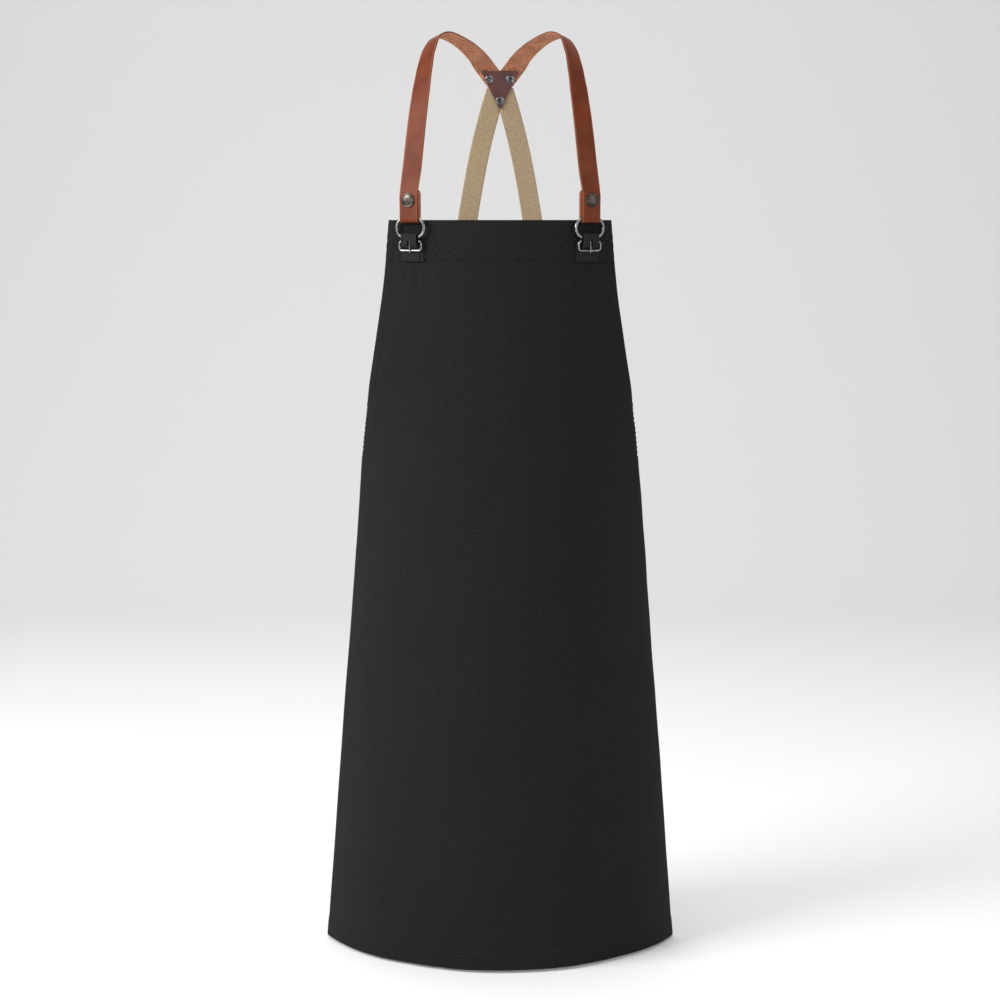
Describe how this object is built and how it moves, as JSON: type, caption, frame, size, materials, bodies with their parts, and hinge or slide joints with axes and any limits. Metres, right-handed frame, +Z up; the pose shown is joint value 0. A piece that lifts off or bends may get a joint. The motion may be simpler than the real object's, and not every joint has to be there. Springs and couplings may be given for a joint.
{
  "type": "artist smock apron",
  "caption": "Long wrap-round cloth apron hung from leather shoulder straps that snap round oval rings and cross into a riveted yoke with woven back straps.",
  "frame": {"origin": "midway between the two places where the straps lie on the wearer's shoulders, on the straps' underside", "axes": "+Z up, +X to the right as seen from the front, +Y to the wearer's back"},
  "size_m": [0.438, 0.2334, 1.127],
  "materials": {
    "canvas": "matt woven canvas",
    "tab_cloth": "matt folded canvas tape",
    "strap_leather": "smooth vegetable-tanned, suede behind",
    "yoke_leather": "polished dark red-brown",
    "back_webbing": "khaki woven webbing",
    "nickel": "polished nickel wire",
    "gunmetal": "antique gunmetal"
  },
  "bodies": {
    "apron": {"body_panel": "canvas", "top_facing": "canvas", "yoke_inner": "yoke_leather", "yoke_outer": "yoke_leather", "tubular_rivets": "gunmetal", "rivet_caps": "gunmetal", "base_patch_left": "tab_cloth", "anchor_tab_left": "tab_cloth", "link_loop_left": "tab_cloth", "shoulder_strap_left": "strap_leather", "snap_cap_left": "gunmetal", "snap_socket_left": "gunmetal", "back_strap_left": "back_webbing", "back_rivet_left": "gunmetal", "base_patch_right": "tab_cloth", "anchor_tab_right": "tab_cloth", "link_loop_right": "tab_cloth", "shoulder_strap_right": "strap_leather", "snap_cap_right": "gunmetal", "snap_socket_right": "gunmetal", "back_strap_right": "back_webbing", "back_rivet_right": "gunmetal"},
    "ring_left": {"oval_ring_left": "nickel"},
    "buckle_left": {"buckle_frame_left": "nickel"},
    "prong_left": {"buckle_prong_left": "nickel"},
    "tail_left": {"strap_tail_left": "strap_leather", "snap_stud_left": "gunmetal", "snap_post_left": "gunmetal"},
    "ring_right": {"oval_ring_right": "nickel"},
    "buckle_right": {"buckle_frame_right": "nickel"},
    "prong_right": {"buckle_prong_right": "nickel"},
    "tail_right": {"strap_tail_right": "strap_leather", "snap_stud_right": "gunmetal", "snap_post_right": "gunmetal"}
  },
  "joints": [
    {"name": "ring_rock_left", "type": "hinge", "parent": "apron", "child": "ring_left", "pos_m": [-0.10546, -0.08452, -0.2307], "axis": [0.8855, -0.4646, 0], "range_deg": [-3, 3]},
    {"name": "buckle_swing_left", "type": "hinge", "parent": "apron", "child": "buckle_left", "pos_m": [-0.10546, -0.08452, -0.2463], "axis": [-0.8855, 0.4646, 0], "range_deg": [0, 8]},
    {"name": "prong_lift_left", "type": "hinge", "parent": "buckle_left", "child": "prong_left", "pos_m": [-0.10546, -0.08452, -0.2463], "axis": [-0.8855, 0.4646, 0], "range_deg": [0, 40]},
    {"name": "tail_open_left", "type": "hinge", "parent": "apron", "child": "tail_left", "pos_m": [-0.10372, -0.0812, -0.2165], "axis": [-0.8855, 0.4646, 0], "range_deg": [0, 65]},
    {"name": "ring_rock_right", "type": "hinge", "parent": "apron", "child": "ring_right", "pos_m": [0.10546, -0.08452, -0.2307], "axis": [0.8855, 0.4646, 0], "range_deg": [-3, 3]},
    {"name": "buckle_swing_right", "type": "hinge", "parent": "apron", "child": "buckle_right", "pos_m": [0.10546, -0.08452, -0.2463], "axis": [-0.8855, -0.4646, 0], "range_deg": [0, 8]},
    {"name": "prong_lift_right", "type": "hinge", "parent": "buckle_right", "child": "prong_right", "pos_m": [0.10546, -0.08452, -0.2463], "axis": [-0.8855, -0.4646, 0], "range_deg": [0, 40]},
    {"name": "tail_open_right", "type": "hinge", "parent": "apron", "child": "tail_right", "pos_m": [0.10372, -0.0812, -0.2165], "axis": [-0.8855, -0.4646, 0], "range_deg": [0, 65]}
  ]
}
